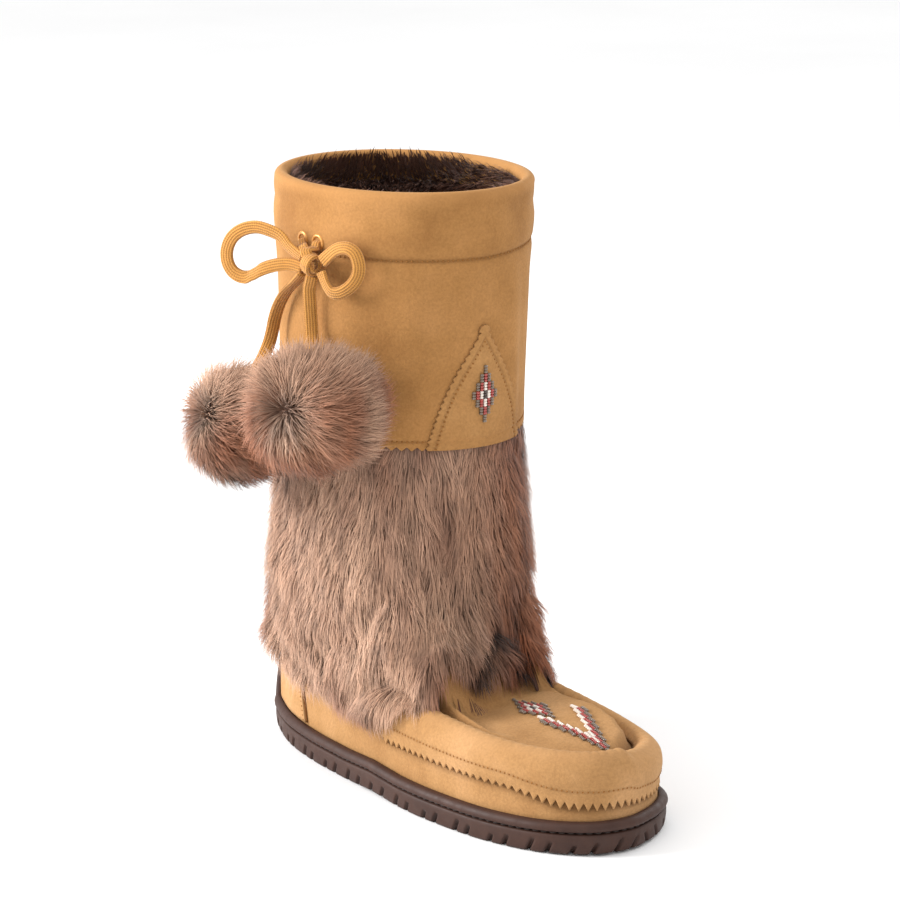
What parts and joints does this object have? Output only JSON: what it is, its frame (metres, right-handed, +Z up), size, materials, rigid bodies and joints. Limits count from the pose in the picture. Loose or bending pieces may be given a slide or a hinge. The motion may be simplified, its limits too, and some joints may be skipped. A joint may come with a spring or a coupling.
{
  "type": "mukluk boot",
  "caption": "Calf-high soft winter boot, right foot: suede moccasin foot on a rubber cup sole, fur band, suede cuff with beadwork, laced bow with two fur pompoms.",
  "frame": {"origin": "on the floor under the middle of the boot, measured without its free lace and pompoms", "axes": "+Z up from the floor, +X across the boot to its inner side, -Y towards the toe"},
  "size_m": [0.1858, 0.2882, 0.312],
  "materials": {
    "rubber": "matte moulded rubber",
    "suede": "brushed tan suede",
    "insole": "felt",
    "fur": "deep rabbit fur",
    "beads": "glossy seed beads",
    "eyelet": "coated in the suede's colour",
    "lace": "flat woven cord"
  },
  "bodies": {
    "root": {"outsole": "rubber", "insole": "insole", "upper": "suede", "moccasin_vamp": "suede", "heel_counter": "suede", "shaft_cuff": "suede", "cuff_patch": "suede", "beads_shaft_diamond": "beads", "beads_toe_diamond": "beads", "beads_toe_chevron": "beads", "fur_band": "fur", "eyelet_rear": "eyelet", "eyelet_front": "eyelet", "lace_crossing": "lace", "lace_knot": "lace", "lace_loop_rear": "lace", "lace_loop_front": "lace", "lace_end_rear": "lace", "lace_end_front": "lace", "pompom_rear": "fur", "pompom_front": "fur"}
  },
  "joints": []
}
